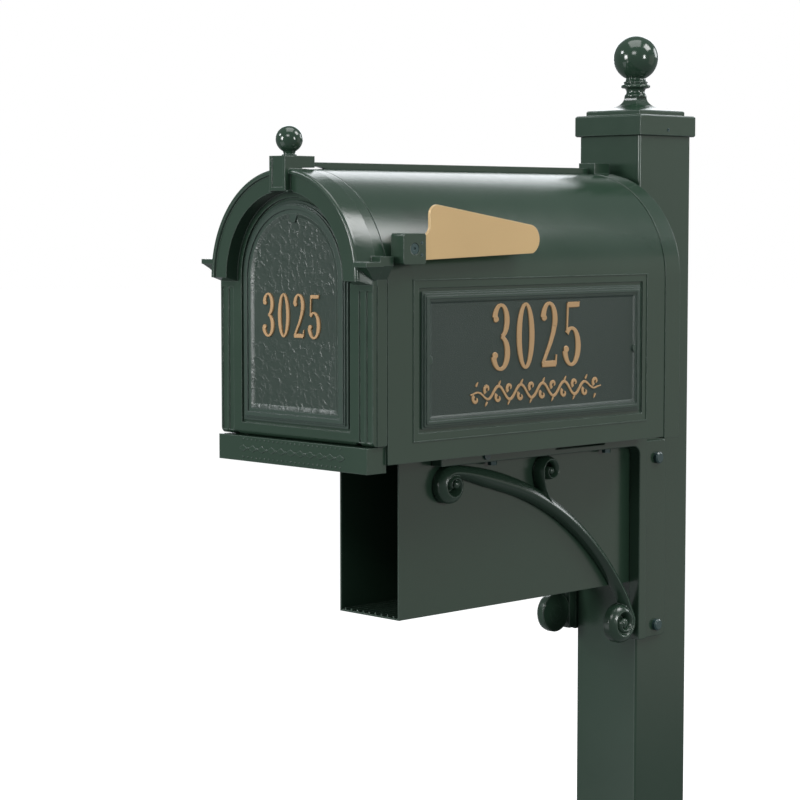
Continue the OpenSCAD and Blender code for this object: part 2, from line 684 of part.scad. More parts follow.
// outline of the blade, (y, z) from the pivot
module blade2d() {
  b = blade_y0;
  t = blade_l;
  polygon(concat([[b_tang, tang_h / 2], [b_tang, -tang_h / 2], [b, -tang_h / 2], [b, -12.5]],
    arc([b + t - 17, 9], 17, -70, 78, 12), arc([b + 21, 37], 11.4, 90, 178, 8),
    [[b + 9.6, 36]], arc([b, 25], 9.6, -8, -88, 8), [[b, 15], [b, tang_h / 2]]));
}

module flag_blade() color(GOLD) on_floor() translate([0, flag_y, flag_z]) difference() {
  along_x(blade_x, blade_x + blade_t) blade2d();
  for (z = rivet_z) translate([0, b_tang + 3.6, z]) rod_x(hub_x - 1, hub_x + 40, 1.5 + hole_fit);
}

b_tang = blade_y0 - tang_l / 2;
rivet_z = [-6.5, 6.5];
module flag_hub() color(GREEN) on_floor() translate([0, flag_y, flag_z]) difference() {
  along_x(hub_x, hub_x + hub_t) round_rect(hub_w, hub_w, 3);
  along_x(blade_x - 0.05, blade_x + blade_t + 0.05) translate([b_tang - 0.1, -tang_h / 2 - 0.1]) square([20, tang_h + 0.2]);
  rod_x(hub_x - 1, hub_x + hub_t + 1, bolt_r + pin_fit);
  rod_x(hub_x + hub_t - 3, hub_x + hub_t + 1, 6.5);
  for (z = rivet_z) translate([0, b_tang + 3.6, z]) rod_x(hub_x - 1, hub_x + hub_t + 1, 1.5 + hole_fit);
}

module flag_rivets() color(STEEL) on_floor() translate([0, flag_y, flag_z])
  for (z = rivet_z) translate([0, b_tang + 3.6, z]) rod_x(hub_x + 0.2, hub_x + hub_t + 0.5, 1.5);

// shoulder bolt: its head sits in the hub's counterbore
module flag_bolt() color(STEEL) on_floor() translate([0, flag_y, flag_z]) difference() {
  union() {
    rod_x(half - wall - 24, hub_x + hub_t - 2, bolt_r);
    rod_x(hub_x + hub_t - 2.7, hub_x + hub_t - 0.4, 6.1);
  }
  rod_x(hub_x + hub_t - 1.6, hub_x + hub_t, 1.8);
}

module flag_washer() color(STEEL) on_floor() translate([0, flag_y, flag_z]) difference() {
  rod_x(hub_x - 0.58, hub_x - 0.05, 8);
  rod_x(hub_x - 2, hub_x + 2, bolt_r + 0.05);
}

module flag_nut() color(STEEL) on_floor() translate([half - wall - 20, flag_y, flag_z]) difference() {
  rotate([0, 90, 0]) hex(13, 6);
  rod_x(-1, 8, bolt_r + 0.02);
}

// ---- the part ------------------------------------------------------------

post_tube();
post_cap();
cap_set_screws();
finial();
finial_stud();
bracket_right();
bracket_left();
bracket_bolts();
bracket_nuts();
mounting_plate();
plate_bolts();
plate_nuts();
mailbox_body();
rear_panel();
rear_panel_screws();
ridge_rail();
rail_screws();
latch_strike();
side_plaque_right();
side_plaque_left();
side_plaque_screws();
newspaper_box();
newspaper_screws();
door();
door_plaque();
door_plaque_screws();
door_knob();
latch_magnet();
hinge_pins();
flag_hub();
flag_blade();
flag_rivets();
flag_bolt();
flag_washer();
flag_nut();
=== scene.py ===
import bmesh
import bpy
import json
from math import cos, hypot, pi, radians, sin
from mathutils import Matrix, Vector


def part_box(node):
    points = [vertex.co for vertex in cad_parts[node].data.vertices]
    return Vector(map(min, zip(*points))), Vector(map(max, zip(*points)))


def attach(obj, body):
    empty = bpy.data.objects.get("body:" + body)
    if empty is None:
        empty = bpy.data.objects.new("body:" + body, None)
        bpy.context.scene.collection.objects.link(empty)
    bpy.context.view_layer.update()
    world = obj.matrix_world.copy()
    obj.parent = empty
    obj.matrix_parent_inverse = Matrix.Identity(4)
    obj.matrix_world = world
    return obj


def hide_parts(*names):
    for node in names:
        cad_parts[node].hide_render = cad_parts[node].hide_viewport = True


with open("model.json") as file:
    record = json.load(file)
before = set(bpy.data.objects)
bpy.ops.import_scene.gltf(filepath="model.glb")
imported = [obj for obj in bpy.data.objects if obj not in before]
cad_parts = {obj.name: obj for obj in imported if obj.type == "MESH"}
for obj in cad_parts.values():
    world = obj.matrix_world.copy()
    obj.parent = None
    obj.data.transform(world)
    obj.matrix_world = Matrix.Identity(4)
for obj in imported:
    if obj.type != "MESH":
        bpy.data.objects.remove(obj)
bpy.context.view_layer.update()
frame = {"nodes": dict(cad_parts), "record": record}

# ---------------------------------------------------------------- the post
# A square extruded aluminium tube, 4 inches across, with a small radius on
# its corners. It is washed, primed and powder coated dark green, as all the
# castings are, which leaves a satin film with a fine orange peel.

COAT_GREEN = (0.0160, 0.0345, 0.0220)
# the lighter edge colour is a painted highlight along the edges
COAT_EDGE_HIGHLIGHT = (0.095, 0.125, 0.108)
COAT_SHEEN = 0.23


def cast_coat_effect():
    """the film's colour, roughness, orange peel and painted highlights along its edges"""
    g = bpy.data.node_groups.new("cast_coat", "ShaderNodeTree")
    new = g.interface.new_socket
    inputs = (
        ("Colour", "NodeSocketColor", (0.02, 0.04, 0.03, 1)),
        ("Edge Colour", "NodeSocketColor", (0.1, 0.1, 0.1, 1)),
        ("Roughness", "NodeSocketFloat", 0.3),
        ("Peel Scale", "NodeSocketFloat", 420.0),
        ("Edge Radius", "NodeSocketFloat", 0.0012),
        ("Edge Amount", "NodeSocketFloat", 0.5),
    )
    for label, kind, value in inputs:
        s = new(label, in_out="INPUT", socket_type=kind)
        s.default_value = value
    outputs = (
        ("Colour", "NodeSocketColor"),
        ("Roughness", "NodeSocketFloat"),
        ("Height", "NodeSocketFloat"),
        ("Normal", "NodeSocketVector"),
    )
    for label, kind in outputs:
        new(label, in_out="OUTPUT", socket_type=kind)
    n, link = g.nodes, g.links.new
    gin, gout = n.new("NodeGroupInput"), n.new("NodeGroupOutput")
    at = n.new("ShaderNodeTexCoord").outputs["Object"]

    def noise(scale, detail, rough=0.5):
        t = n.new("ShaderNodeTexNoise")
        link(at, t.inputs["Vector"])
        t.inputs["Detail"].default_value = detail
        t.inputs["Roughness"].default_value = rough
        if isinstance(scale, (int, float)):
            t.inputs["Scale"].default_value = scale
        else:
            link(scale, t.inputs["Scale"])
        return t.outputs["Fac"]

    def calc(op, a, b, clamp=False):
        m = n.new("ShaderNodeMath")
        m.operation, m.use_clamp = op, clamp
        for i, v in enumerate((a, b)):
            if isinstance(v, (int, float)):
                m.inputs[i].default_value = v
            else:
                link(v, m.inputs[i])
        return m.outputs[0]

    def blend(kind, factor, a, b):
        m = n.new("ShaderNodeMix")
        m.data_type, m.blend_type = "RGBA", kind
        for i, v in ((0, factor), (6, a), (7, b)):
            if isinstance(v, (int, float, tuple)):
                m.inputs[i].default_value = v
            else:
                link(v, m.inputs[i])
        return m.outputs[2]

    peel = noise(gin.outputs["Peel Scale"], 2.0)
    cloud = noise(7.0, 3.0)
    speck = noise(60.0, 4.0, 0.65)
    dust = noise(1500.0, 1.0)
    bevel = n.new("ShaderNodeBevel")
    bevel.samples = 4
    link(gin.outputs["Edge Radius"], bevel.inputs["Radius"])
    flat = n.new("ShaderNodeNewGeometry").outputs["Normal"]
    dot = n.new("ShaderNodeVectorMath")
    dot.operation = "DOT_PRODUCT"
    link(bevel.outputs[0], dot.inputs[0])
    link(flat, dot.inputs[1])
    # the mask is where the rounded normal leaves the true one, broken up by the specks; mixing the edge
    # colour in there paints highlights along the edges
    edge = calc("MULTIPLY", calc("SUBTRACT", 1.0, dot.outputs["Value"], True), 12.0, True)
    broken = calc("MULTIPLY", edge, calc("ADD", speck, 0.15), True)
    painted_edge_highlight = calc("MULTIPLY", broken, gin.outputs["Edge Amount"], True)
    shade = calc("ADD", calc("MULTIPLY", cloud, 0.26), 0.87)
    shade = calc("ADD", shade, calc("MULTIPLY", calc("SUBTRACT", dust, 0.5), 0.22))
    toned = n.new("ShaderNodeVectorMath")
    toned.operation = "SCALE"
    link(gin.outputs["Colour"], toned.inputs[0])
    link(shade, toned.inputs["Scale"])
    link(blend("MIX", painted_edge_highlight, toned.outputs[0], gin.outputs["Edge Colour"]), gout.inputs["Colour"])
    rough = calc("ADD", gin.outputs["Roughness"], calc("MULTIPLY", calc("SUBTRACT", cloud, 0.5), 0.10))
    rough = calc("ADD", rough, calc("MULTIPLY", calc("SUBTRACT", speck, 0.5), 0.07))
    link(rough, gout.inputs["Roughness"])
    link(calc("ADD", peel, calc("MULTIPLY", dust, 0.25)), gout.inputs["Height"])
    link(bevel.outputs[0], gout.inputs["Normal"])
    return g


cast_coat = cast_coat_effect()


def coated(name, colour, edge_colour, roughness, peel=420.0, peel_depth=0.00003,
           edge_radius=0.0015, edge_amount=0.85, metallic=0.0):
    """a material for coated or plated metal, made on the shared film"""
    m = bpy.data.materials.new(name)
    m.use_nodes = True
    nodes, link = m.node_tree.nodes, m.node_tree.links.new
    shader = nodes["Principled BSDF"]
    film = nodes.new("ShaderNodeGroup")
    film.node_tree = cast_coat
    film.inputs["Colour"].default_value = (*colour, 1)
    film.inputs["Edge Colour"].default_value = (*edge_colour, 1)
    film.inputs["Roughness"].default_value = roughness
    film.inputs["Peel Scale"].default_value = peel
    film.inputs["Edge Radius"].default_value = edge_radius
    film.inputs["Edge Amount"].default_value = edge_amount
    bump = nodes.new("ShaderNodeBump")
    bump.name = "film bump"
    bump.inputs["Strength"].default_value = 0.6
    bump.inputs["Distance"].default_value = peel_depth
    link(film.outputs["Colour"], shader.inputs["Base Color"])
    link(film.outputs["Roughness"], shader.inputs["Roughness"])
    link(film.outputs["Height"], bump.inputs["Height"])
    link(film.outputs["Normal"], bump.inputs["Normal"])
    link(bump.outputs[0], shader.inputs["Normal"])
    shader.inputs["Metallic"].default_value = metallic
    return m


# the lighter edge colour on the coat paints highlights along the castings' edges
green_coat = coated("green powder coat", COAT_GREEN, COAT_EDGE_HIGHLIGHT, COAT_SHEEN)
ball_coat = coated("green powder coat on turnings", COAT_GREEN, COAT_EDGE_HIGHLIGHT, 0.13, 300.0, 0.00001)


def piece(name, bm, material, body, smooth=40):
    """one finished piece from its bmesh, smooth except across hard edges"""
    for f in bm.faces:
        f.smooth = True
    for e in bm.edges:
        if len(e.link_faces) == 2 and e.calc_face_angle(0.0) > radians(smooth):
            e.smooth = False
    mesh = bpy.data.meshes.new(name)
    bm.to_mesh(mesh)
    bm.free()
    mesh.materials.append(material)
    o = bpy.data.objects.new(name, mesh)
    bpy.context.scene.collection.objects.link(o)
    even = o.modifiers.new("even shading", "WEIGHTED_NORMAL")
    even.keep_sharp = True
    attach(o, body)
    return o


def merged(*nodes):
    """the CAD shapes as one closed mesh each, with flat areas cleaned"""
    bm = bmesh.new()
    for node in nodes:
        bm.from_mesh(frame["nodes"][node].data)
    bmesh.ops.remove_doubles(bm, verts=bm.verts, dist=2e-6)
    bmesh.ops.dissolve_limit(bm, angle_limit=radians(0.4), verts=bm.verts, edges=bm.edges)
    return bm


def rounded(bm, width, steps=2, over=50):
    """rounds the hard edges of a bmesh"""
    hard = [e for e in bm.edges if len(e.link_faces) == 2 and e.calc_face_angle(0.0) > radians(over)]
    bmesh.ops.bevel(bm, geom=hard, offset=width, offset_type="OFFSET", affect="EDGES", segments=steps,
                    profile=0.5, material=-1, clamp_overlap=True)
    return bm


post = piece("post", merged("post_tube"), green_coat, "stand")
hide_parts("post_tube")

# ------------------------------------------------------- the cap and finial
# A cast cap slides over the post and is locked by two grub screws. Its low
# pyramid carries a turned finial, a ball on a ringed neck, cast and coated
# with it and held by a stud.

fin_lo, fin_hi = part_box("finial")
BALL_R = 0.029
ball_z = fin_hi.z - BALL_R

cap = piece("cap", rounded(merged("post_cap"), 0.0007, 2, 60), green_coat, "stand")
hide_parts("post_cap")


def arc(cx, cz, r, a0, a1, n):
    """points along an arc, from a0 to a1 in degrees"""
    turns = [radians(a0 + (a1 - a0) * i / n) for i in range(n + 1)]
    return [(cx + r * cos(a), cz + r * sin(a)) for a in turns]


def turned(profile, x, y, steps=72):
    """a turned shape about the vertical through x, y; profile is (radius, z)"""
    bm = bmesh.new()
    ring = [bm.verts.new((r, 0, z)) for r, z in profile]
    edges = [bm.edges.new(pair) for pair in zip(ring, ring[1:])]
    bmesh.ops.spin(bm, geom=ring + edges, cent=(0, 0, 0), axis=(0, 0, 1), angle=2 * pi, steps=steps,
                   use_merge=True)
    bmesh.ops.remove_doubles(bm, verts=bm.verts, dist=1e-6)
    bmesh.ops.recalc_face_normals(bm, faces=bm.faces)
    bmesh.ops.translate(bm, verts=bm.verts, vec=(x, y, 0))
    return bm


z0 = fin_lo.z
fin_line = [(0, z0), (0.0144, z0), (0.0142, z0 + 0.0018)]
# the neck's hollow, its large ring, then a small ring under the ball
fin_line += arc(0.0172, z0 + 0.0068, 0.0052, 235, 140, 8)
fin_line += [(0.0139, z0 + 0.0104), (0.0152, z0 + 0.0112)]
fin_line += arc(0.0166, z0 + 0.0136, 0.0024, -95, 70, 8)
fin_line += [(0.0158, z0 + 0.0164), (0.0143, z0 + 0.0172)]
fin_line += arc(0.0146, z0 + 0.0186, 0.0013, -80, 75, 5)
fin_line += [(0.0136, z0 + 0.0206)]
fin_line += arc(0, ball_z, BALL_R, -64, 90, 40)[:-1] + [(0, fin_hi.z)]
finial = piece("finial", turned(fin_line, 0, 0), ball_coat, "stand", 60)
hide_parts("finial")

# ----------------------------------------------------- the mailbox's castings
# The mailbox is an arched aluminium casting with a recess in each side wall.
# A deep banded panel closes its rear and a thin rail runs along the ridge,
# both screwed on.

body = piece("mailbox", merged("mailbox_body"), green_coat, "stand", 30)
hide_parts("mailbox_body")
rear_bm = rounded(merged("rear_panel"), 0.0018, 3, 60)
rear = piece("rear_cover", rear_bm, green_coat, "stand", 30)
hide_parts("rear_panel")
rail = piece("ridge_bar", merged("ridge_rail"), green_coat, "stand", 30)
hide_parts("ridge_rail")

# ------------------------------------------------------------ the newspaper box
# A long open box folded from sheet, with drain ribs along its floor. It hangs
# between the brackets, screwed through their arms, and is coated inside too.

news = piece("paper_box", merged("newspaper_box"), green_coat, "stand", 30)
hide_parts("newspaper_box")

# ------------------------------------------------------------------ the brackets
# A pair of cast scroll brackets: a square arm and upright with a bolting
# flange, braced by a crowned strap that ends in two scrolls, with a small curl
# branching off it.

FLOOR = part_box("mounting_plate")[1].z
b_lo, b_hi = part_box("bracket_right")
ARM_FRONT = b_lo.y
IN_X, OUT_X = b_lo.x, b_hi.x


def swept(bm, path, section):
    """draws a section along a path; a path step is (point, across, out, reach across, reach out)"""
    ring = None
    for p, across, out, ra, ro in path:
        spots = [p + across * (u * ra) + out * (v * ro) for u, v in section]
        if ring is None:
            ring = [bm.verts.new(q) for q in spots]
            loop = [bm.edges.new((ring[i - 1], ring[i])) for i in range(len(ring))]
            bm.faces.new(ring)
            continue
        made = bmesh.ops.extrude_edge_only(bm, edges=loop)["geom"]
        fresh = {g for g in made if isinstance(g, bmesh.types.BMVert)}
        ring = [next(e.other_vert(v) for e in v.link_edges if e.other_vert(v) in fresh) for v in ring]
        for v, q in zip(ring, spots):
            v.co = q
        new_edges = [g for g in made if isinstance(g, bmesh.types.BMEdge)]
        loop = [g for g in new_edges if g.verts[0] in fresh and g.verts[1] in fresh]
    bm.faces.new(ring)
    return bm


def plate(bm, outline, x0, x1):
    """a flat outline of (y, z) points, given its thickness between x0 and x1"""
    f = bm.faces.new([bm.verts.new((x0, y, z)) for y, z in outline])
    out = bmesh.ops.extrude_face_region(bm, geom=[f])["geom"]
    bmesh.ops.translate(bm, verts=[g for g in out if isinstance(g, bmesh.types.BMVert)], vec=(x1 - x0, 0, 0))
    return bm


def on_floor(points):
    """(y, z) in millimetres from the mailbox floor, as metres above ground"""
    return [(y / 1000, FLOOR + z / 1000) for y, z in points]


def bracket_mesh():
    """the arm, upright and bolting flange"""
    bm = bmesh.new()
    # arm, upright and the fillet between them
    y0 = ARM_FRONT * 1000
    frame_line = [(y0, -3), (y0, -18), (-78, -18)]
    frame_line += arc(-78, -30, 12, 90, 0, 8)[1:]
    frame_line += [(-66, -268), (-52, -268), (-52, -3)]
    relief = [(-134.8, -3), (-134.8, -11), (-225.8, -11), (-225.8, -3)]
    plate(bm, on_floor(frame_line + relief), IN_X, OUT_X)
    # bolting flange
    flange = [(-54, -14), (-54, -270)] + arc(-7, -263, 7, -90, 0, 6) + arc(-7, -21, 7, 0, 90, 6)
    plate(bm, on_floor(flange), IN_X, IN_X + 0.006)
    bmesh.ops.recalc_face_normals(bm, faces=bm.faces)
    rounded(bm, 0.0013, 3, 60)
    return bm


CROWN = [
    (-1, 0), (-1, 0.45), (-0.88, 0.66), (-0.45, 0.86), (0.0, 0.985), (0.14, 1.0),
    (0.30, 0.965), (0.72, 0.66), (0.93, 0.40), (1, 0.12), (1, 0),
]


def path_step(y, z, ty, tz, half, x_in, x_out):
    """one step of a bar that runs in a plane of constant x; (ty, tz) is its heading"""
    l = hypot(ty, tz)
    at = Vector((x_in, y / 1000, FLOOR + z / 1000))
    across = Vector((0, -tz / l, ty / l))
    return (at, across, Vector((1, 0, 0)), half / 1000, x_out - x_in)


def scroll_bar(bm, points, x_in, x_out, section=CROWN, flip=1):
    """points are (y, z, half thickness); flip turns the section's upper side"""
    steps = []
    for i, (y, z, h) in enumerate(points):
        a, b = points[max(i - 1, 0)], points[min(i + 1, len(points) - 1)]
        steps.append(path_step(y, z, flip * (b[0] - a[0]), flip * (b[1] - a[1]), h, x_in, x_out))
    return swept(bm, steps, section)


def eye(bm, y, z, r, x, depth):
    """the ball that ends a scroll"""
    made = bmesh.ops.create_uvsphere(bm, u_segments=24, v_segments=14, radius=r / 1000)["verts"]
    bmesh.ops.scale(bm, verts=made, vec=(depth, 1, 1))
    bmesh.ops.translate(bm, verts=made, vec=(x, y / 1000, FLOOR + z / 1000))


# in millimetres from the mailbox floor: the circle that the brace's top edge lies on
BRACE_Y, BRACE_Z, BRACE_R = -431.5, -433.5, 416.6


def strap_mesh():
    """the brace with its front and low scrolls, as one bar"""
    bm = bmesh.new()
    x_in, x_out = IN_X + 0.001, OUT_X
    pts = []
    # front scroll, from its eye outwards
    fy, fz = -400.3, -42.0
    for i in range(44):
        t = i / 44
        a = radians(86 + 480 * (1 - t))
        h = 3.0 + 4.6 * min(1, t * 1.5)
        reach = 5.6 + (15.9 - 5.6) * min(1, t * 1.35) ** 0.9
        pts.append((fy + reach * cos(a), fz + reach * sin(a), h))
    # the brace hangs from its upper arc and thins towards the post
    for i in range(48):
        t = i / 47
        a = radians(84.9 + (33.2 - 84.9) * t)
        top = (BRACE_Y + BRACE_R * cos(a), BRACE_Z + BRACE_R * sin(a))
        full = (hypot(top[0] + 402.5, top[1] + 414.5) - 369) / 2
        ease = min(1, i / 9)
        h = 7.6 + (min(full, 10.6) - 7.6) * ease * ease * (3 - 2 * ease)
        pts.append((top[0] - h * cos(a), top[1] - h * sin(a), h))
    # low scroll, inwards
    ly0, lz0 = -91.0, -243.5
    for i in range(1, 54):
        t = i / 53
        a = radians(28 - 600 * t)
        late = max(0, (t - 0.42) / 0.58)
        reach = 18.2 - 12.0 * late
        pts.append((ly0 + reach * cos(a), lz0 + reach * sin(a), 7.8 - 4.6 * late))
    scroll_bar(bm, pts, x_in, x_out, flip=-1)
    # the castings are closed at the back of each scroll
    for cy, cz, r in ((fy, fz, 21.5), (ly0, lz0, 24.5)):
        plate(bm, on_floor(arc(cy, cz, r, 0, 352, 44)), x_in - 0.0005, x_in + 0.004)
    eye(bm, fy + 3.8, fz + 1.0, 5.0, x_out - 0.0042, 0.8)
    eye(bm, ly0, lz0, 6.4, x_out - 0.0045, 0.8)
    bmesh.ops.recalc_face_normals(bm, faces=bm.faces)
    return bm


def curl_mesh():
    """the small curl that branches off the brace, and the fillet along it"""
    bm = bmesh.new()
    x_in, x_out = IN_X + 0.0015, OUT_X - 0.0005
    pts = []
    for i in range(16):
        a = radians(244 + (180 - 244) * i / 16)
        pts.append((-185.3 + 60 * cos(a), -36.5 + 60 * sin(a), 2.2 + 2.8 * i / 16))
    for i in range(40):
        t = i / 39
        a = radians(180 - 400 * t)
        r = 14.5 + (5.4 - 14.5) * t ** 1.3
        pts.append((-230.8 + r * cos(a), -36.5 + r * sin(a), 5.0 + (2.6 - 5.0) * t))
    scroll_bar(bm, pts, x_in, x_out, flip=1)
    eye(bm, -229.5, -37.5, 4.6, x_out - 0.0045, 0.8)
    # the thin fillet that follows the brace down to the low scroll
    turns = [radians(a / 2) for a in range(116, 66, -2)]
    line = [(BRACE_Y + 414.9 * cos(a), BRACE_Z + 414.9 * sin(a), 1.6) for a in turns]
    scroll_bar(bm, line, x_in + 0.006, x_out - 0.0048, flip=-1)
    bmesh.ops.recalc_face_normals(bm, faces=bm.faces)
    return bm


bracket_parts = (
    ("bracket_frame", bracket_mesh, 50),
    ("bracket_strap", strap_mesh, 38),
    ("bracket_curl", curl_mesh, 38),
)
for side, sign in (("right", 1), ("left", -1)):
    for name, make, smooth in bracket_parts:
        bm = make()
        if sign < 0:
            bmesh.ops.scale(bm, verts=bm.verts, vec=(-1, 1, 1))
            bmesh.ops.reverse_faces(bm, faces=bm.faces)
        o = piece(f"{name}_{side}", bm, green_coat, "stand", smooth)
        if name == "bracket_frame":
            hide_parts(f"bracket_{side}")

# ---------------------------------------------------------------- the door
# The front is one thick casting, a fluted pilaster each side, an arch moulding
# and a keystone, hinged at its foot. A ball knob on the keystone pulls it.

door = piece("door_front", merged("door"), green_coat, "door_leaf", 24)
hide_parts("door")

knob_lo, knob_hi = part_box("door_knob")
KNOB_R = 0.0153
ky, kz = (knob_lo.y + knob_hi.y) / 2, knob_hi.z - KNOB_R
foot = knob_lo.z + 0.008
knob_line = [(0, foot), (0.0082, foot)]
knob_line += arc(0.0077, foot + 0.0009, 0.0009, -80, 70, 4)
knob_line += [(0.0064, foot + 0.0022)]
knob_line += arc(0, kz, KNOB_R, -62, 90, 32)[:-1] + [(0, knob_hi.z)]
knob = piece("knob", turned(knob_line, 0, ky), ball_coat, "door_leaf", 60)
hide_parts("door_knob")

# ------------------------------------------------------------- the plaques
# Cast aluminium plaques with a stepped border. The door's has a hammered
# field, the side ones a fine pebble. Figures and an ornament stand up from
# the field and are faced in bronze gold.

FIELD = (0.0190, 0.0370, 0.0270)


def hammered(name, colour, scale, depth, roughness, calm_z=None):
    """the plaque's green over a wrinkled, hand-hammered ground; a fine scale makes it a pebble

    calm_z is the height about which the relief is kept low, behind the figures
    """
    m = coated(name, colour, COAT_EDGE_HIGHLIGHT, roughness, 420.0, 0.00002)
    nodes, link = m.node_tree.nodes, m.node_tree.links.new
    at = nodes.new("ShaderNodeTexCoord").outputs["Object"]
    folds = nodes.new("ShaderNodeTexNoise")
    folds.inputs["Scale"].default_value = scale
    folds.inputs["Detail"].default_value = 3.0
    folds.inputs["Roughness"].default_value = 0.45
    folds.inputs["Distortion"].default_value = 0.7
    link(at, folds.inputs["Vector"])
    # the folds above the noise's middle stand up and the rest stays low
    off = nodes.new("ShaderNodeMath")
    off.operation = "SUBTRACT"
    off.inputs[1].default_value = 0.5
    ridge = nodes.new("ShaderNodeMath")
    ridge.operation = "SMOOTH_MAX"
    ridge.inputs[1].default_value = -0.02
    ridge.inputs[2].default_value = 0.10
    link(folds.outputs["Fac"], off.inputs[0])
    link(off.outputs[0], ridge.inputs[0])
    bump = nodes.new("ShaderNodeBump")
    bump.inputs["Strength"].default_value = 1.0
    bump.inputs["Distance"].default_value = depth
    link(ridge.outputs[0], bump.inputs["Height"])
    if calm_z is not None:
        split = nodes.new("ShaderNodeSeparateXYZ")
        link(at, split.inputs[0])
        away = nodes.new("ShaderNodeMath")
        away.operation = "COMPARE"
        away.inputs[1].default_value = calm_z
        away.inputs[2].default_value = 0.026
        link(split.outputs["Z"], away.inputs[0])
        fade = nodes.new("ShaderNodeMapRange")
        fade.inputs["To Min"].default_value = 1.0
        fade.inputs["To Max"].default_value = 0.3
        link(away.outputs[0], fade.inputs["Value"])
        damped = nodes.new("ShaderNodeMath")
        damped.operation = "MULTIPLY"
        link(ridge.outputs[0], damped.inputs[0])
        link(fade.outputs["Result"], damped.inputs[1])
        link(damped.outputs[0], bump.inputs["Height"])
    film_bump = nodes["film bump"]
    link(film_bump.outputs[0], bump.inputs["Normal"])
    link(bump.outputs[0], nodes["Principled BSDF"].inputs["Normal"])
    return m


# its lighter edge colour paints a highlight along the border's edges
plaque_coat = coated("plaque border coat", FIELD, (0.06, 0.08, 0.075), 0.34, edge_amount=0.7)
hammer_coat = hammered("hammered plaque field", (0.0160, 0.0290, 0.0215), 130.0, 0.0020, 0.34, FLOOR + 0.160)
pebble_coat = hammered("pebbled plaque field", (0.0120, 0.0240, 0.0185), 700.0, 0.0005, 0.38)
gold_face = coated("bronze gold facing", (0.36, 0.225, 0.110), (0.20, 0.10, 0.04), 0.42,
                   900.0, 0.00002, 0.0006, 0.25, 0.25)

for side in ("right", "left"):
    o = piece(f"side_plate_{side}", merged(f"side_plaque_{side}"), plaque_coat, "stand", 30)
    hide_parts(f"side_plaque_{side}")
o = piece("door_plate", merged("door_plaque"), plaque_coat, "door_leaf", 30)
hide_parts("door_plaque")

# the frame of each plaque's setting: its middle, its reading direction and the way it faces
F_MM = 0.001
side_lo, side_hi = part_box("side_plaque_right")
side_mid_y, side_mid_z = (side_lo.y + side_hi.y) / 2, (side_lo.z + side_hi.z) / 2
door_lo, door_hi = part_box("door_plaque")
FIELD_X = side_lo.x + 0.002
FIELD_Y = door_hi.y - 0.0025


def laid(points, u, up, out, at, rise, spread=1.0):
    """steps for a raised stroke whose points are (across, height, half width) in millimetres"""
    steps = []
    for i, (a, b, h) in enumerate(points):
        p, q = points[max(i - 1, 0)], points[min(i + 1, len(points) - 1)]
        du, dz = (q[0] - p[0]) * spread, q[1] - p[1]
        l = hypot(du, dz)
        spot = at + u * (a * F_MM * spread) + up * (b * F_MM)
        steps.append((spot, (u * -dz + up * du) / l, out, h * F_MM, rise))
    return steps


RELIEF = [(-1, -0.2), (-1, 0.55), (-0.8, 1), (0.8, 1), (1, 0.55), (1, -0.2)]


def bow(ca, cb, ra, rb, a0, a1, thin, thick, n=22):
    """an oval stroke, thick at its sides and thin at its top and foot"""
    points = []
    for i in range(n + 1):
        t = radians(a0 + (a1 - a0) * i / n)
        half = 1.3 * thin + (1.16 * thick - 1.3 * thin) * abs(cos(t)) ** 1.3
        points.append((ca + ra * cos(t), cb + rb * sin(t), half))
    return points


def bead(a, b, r):
    """a round dot, drawn as a short stroke"""
    across = (-0.98, -0.85, -0.6, -0.3, 0, 0.3, 0.6, 0.85, 0.98)
    return [(a + d * r, b, max(0.3, r * (1 - d * d) ** 0.5)) for d in across]


# condensed figures with ball ends, about 32 wide
FIGURE_TALL = 87
FIGURES = {
    "3": [
        bow(-1.0, 64.5, 11.0, 20.5, 168, -84, 1.7, 4.2),
        bow(-1.5, 22.5, 12.5, 21.0, 86, -168, 1.7, 4.4),
        bead(-10.0, 67.0, 4.6),
        bead(-11.5, 19.5, 4.8),
    ],
    "0": [bow(0, 43.5, 11.6, 41.6, 90, 452, 1.8, 4.3, 44)],
    "2": [
        bow(-0.5, 63.5, 11.0, 21.5, 172, -24, 1.7, 4.3),
        [(9.4, 54.5, 4.6), (7.5, 46.0, 4.1), (2.5, 33.0, 3.5), (-4.5, 19.0, 2.9), (-10.5, 7.5, 2.5)],
        [(-13.5, 4.2, 4.0), (-8, 4.4, 4.3), (8, 4.4, 4.3), (12.0, 4.4, 4.2)],
        [(12.0, 3.0, 1.8), (13.2, 16.5, 1.3)],
        bead(-9.8, 66.0, 4.6),
    ],
    "5": [
        [(-9.5, 82.0, 3.9), (8.0, 82.0, 3.9), (10.5, 82.0, 3.4)],
        [(-9.3, 84.5, 1.8), (-10.8, 46.0, 1.5)],
        [(10.6, 79.0, 1.6), (12.0, 86.3, 0.8)],
        bow(-1.8, 26.0, 12.8, 24.6, 134, -168, 1.7, 4.4),
        bead(-12.0, 22.5, 4.8),
    ],
}


def figures(number, u, up, out, at, rise, height, pitch, spread):
    """a number laid out about at, each figure a set of raised strokes"""
    bm = bmesh.new()
    k = height / FIGURE_TALL
    for i, c in enumerate(number):
        across = (i - (len(number) - 1) / 2) * pitch
        for j, stroke in enumerate(FIGURES[c]):
            pts = [(across / spread + a * k, b * k - height / 2, h * k) for a, b, h in stroke]
            swept(bm, laid(pts, u, up, out, at, rise * (1 - 0.02 * j), spread), RELIEF)
    bmesh.ops.recalc_face_normals(bm, faces=bm.faces)
    return bm


